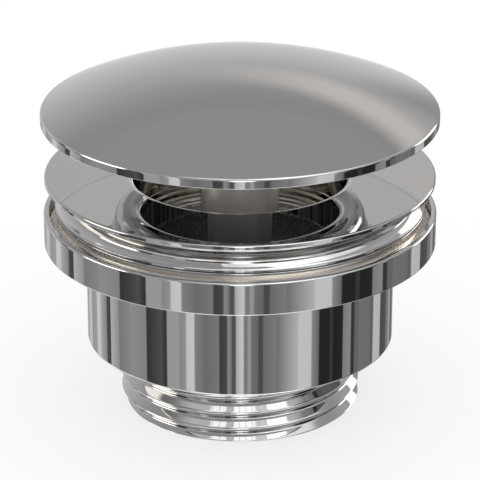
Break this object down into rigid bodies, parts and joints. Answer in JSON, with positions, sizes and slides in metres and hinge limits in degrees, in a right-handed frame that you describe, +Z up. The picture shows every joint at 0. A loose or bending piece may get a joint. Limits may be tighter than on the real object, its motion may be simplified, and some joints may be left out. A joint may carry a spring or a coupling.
{
  "type": "basin waste",
  "caption": "Free-flow basin waste: a domed cap on a stem over a flange with a throat and cross, clamp rings and seals, and a hollow body that ends in a threaded tail.",
  "frame": {"origin": "centre of the tail's open lower end, the lowest face of the part", "axes": "+Z up along the common axis of all turned pieces, from the tail to the cap"},
  "size_m": [0.0684, 0.0684, 0.061],
  "materials": {
    "chrome_body": "polished",
    "satin_metal": "fine turned satin",
    "seal_rubber": "matt",
    "washer_plastic": "matt"
  },
  "bodies": {
    "body": {"lower_body": "chrome_body", "clamp_ring": "chrome_body", "lower_seal": "seal_rubber"},
    "seat": {"seat_ring": "chrome_body", "upper_seal": "seal_rubber"},
    "flange": {"seat_flange": "chrome_body", "cross_insert": "chrome_body", "hub_socket": "satin_metal"},
    "washer": {"stem_washer": "washer_plastic"},
    "cap": {"cap_shell": "chrome_body", "cap_base": "chrome_body", "cap_stem": "satin_metal"}
  },
  "joints": [
    {"name": "clamp_rise", "type": "slide", "parent": "body", "child": "seat", "axis": [0, 0, 1], "range_m": [0, 0.00901]},
    {"name": "clamp_turn", "type": "hinge", "parent": "seat", "child": "flange", "pos_m": [0, 0, 0.04017], "axis": [0, 0, 1], "range_deg": [0, 2160]},
    {"name": "cap_rise", "type": "slide", "parent": "flange", "child": "washer", "axis": [0, 0, 1], "range_m": [0, 0.00626]},
    {"name": "cap_turn", "type": "hinge", "parent": "washer", "child": "cap", "pos_m": [0, 0, 0.04527], "axis": [0, 0, 1], "range_deg": [0, 1800]}
  ],
  "couplings": [
    {"joint": "clamp_rise", "follows": "clamp_turn", "m_per_rad": 0.00023873},
    {"joint": "cap_rise", "follows": "cap_turn", "m_per_rad": 0.00019894}
  ]
}
